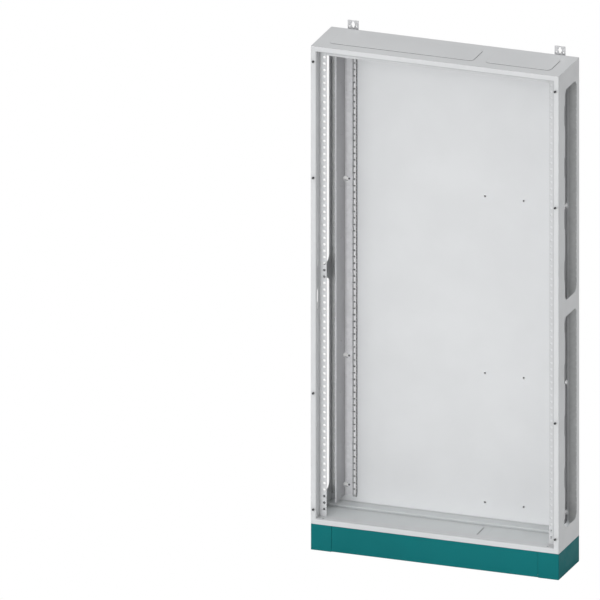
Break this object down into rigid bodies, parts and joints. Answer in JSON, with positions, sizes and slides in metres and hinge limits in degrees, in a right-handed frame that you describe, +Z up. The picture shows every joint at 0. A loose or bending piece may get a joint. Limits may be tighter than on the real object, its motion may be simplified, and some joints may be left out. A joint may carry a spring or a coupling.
{
  "type": "switchboard cabinet",
  "caption": "Tall open-fronted floor-standing switchboard cabinet body with side windows, perforated mounting rails, roof gland plates, wall lugs and a bolted plinth.",
  "frame": {"origin": "on the floor, centred in width and in overall depth", "axes": "+Z up, +X to the right when facing the open front, +Y from the front to the back"},
  "size_m": [0.96, 0.246, 1.979],
  "materials": {
    "light_grey_paint": "fine textured powder coat, light grey",
    "galvanised_sheet": "satin galvanised sheet",
    "zinc_steel": "bright zinc plated",
    "cleat_paint": "light painted steel",
    "dark_steel": "black oxide",
    "gasket_rubber": "matt cellular rubber",
    "black_plastic": "moulded black plastic",
    "teal_paint": "fine textured powder coat, petrol green",
    "brass": "plain brass"
  },
  "bodies": {
    "cabinet": {"side_wall_left": "light_grey_paint", "side_wall_right": "light_grey_paint", "front_upright_left": "light_grey_paint", "front_upright_right": "light_grey_paint", "front_header": "light_grey_paint", "front_sill": "light_grey_paint", "roof_panel": "light_grey_paint", "floor_panel": "light_grey_paint", "back_wall": "light_grey_paint", "rear_upright_left": "galvanised_sheet", "rear_upright_right": "galvanised_sheet", "rear_rail_left": "galvanised_sheet", "rear_rail_right": "galvanised_sheet", "corner_strip_left": "galvanised_sheet", "corner_strip_right": "galvanised_sheet", "rail_cleats_left": "cleat_paint", "rail_cleats_right": "cleat_paint", "cleat_screws": "dark_steel", "back_wall_inserts": "zinc_steel", "roof_gasket_large": "gasket_rubber", "roof_gasket_small": "gasket_rubber", "floor_gasket_large": "gasket_rubber", "floor_gasket_small": "gasket_rubber", "stud_pins": "zinc_steel", "stud_caps": "black_plastic", "wall_lug_left": "zinc_steel", "wall_lug_right": "zinc_steel", "lug_screws": "zinc_steel", "lug_nuts": "zinc_steel", "base_corner_brackets": "zinc_steel", "plinth_side_left": "teal_paint", "plinth_side_right": "teal_paint", "plinth_cover_tabs": "teal_paint", "plinth_bolts": "zinc_steel", "plinth_nuts": "zinc_steel", "earth_stud": "brass", "earth_nuts": "zinc_steel"},
    "roof_plate_large": {"roof_gland_plate_large": "light_grey_paint"},
    "roof_plate_small": {"roof_gland_plate_small": "light_grey_paint"},
    "floor_plate_large": {"floor_gland_plate_large": "light_grey_paint"},
    "floor_plate_small": {"floor_gland_plate_small": "light_grey_paint"},
    "front_plinth_cover": {"plinth_front_cover": "teal_paint", "plinth_front_pins": "dark_steel"},
    "rear_plinth_cover": {"plinth_rear_cover": "teal_paint", "plinth_rear_pins": "dark_steel"}
  },
  "joints": [
    {"name": "roof_plate_large_lift", "type": "slide", "parent": "cabinet", "child": "roof_plate_large", "axis": [0, 0, 1], "range_m": [0, 0.06]},
    {"name": "roof_plate_small_lift", "type": "slide", "parent": "cabinet", "child": "roof_plate_small", "axis": [0, 0, 1], "range_m": [0, 0.06]},
    {"name": "floor_plate_large_lift", "type": "slide", "parent": "cabinet", "child": "floor_plate_large", "axis": [0, 0, 1], "range_m": [0, 0.06]},
    {"name": "floor_plate_small_lift", "type": "slide", "parent": "cabinet", "child": "floor_plate_small", "axis": [0, 0, 1], "range_m": [0, 0.06]},
    {"name": "front_plinth_cover_pull", "type": "slide", "parent": "cabinet", "child": "front_plinth_cover", "axis": [0, -1, 0], "range_m": [0, 0.06]},
    {"name": "rear_plinth_cover_pull", "type": "slide", "parent": "cabinet", "child": "rear_plinth_cover", "axis": [0, 1, 0], "range_m": [0, 0.06]}
  ]
}
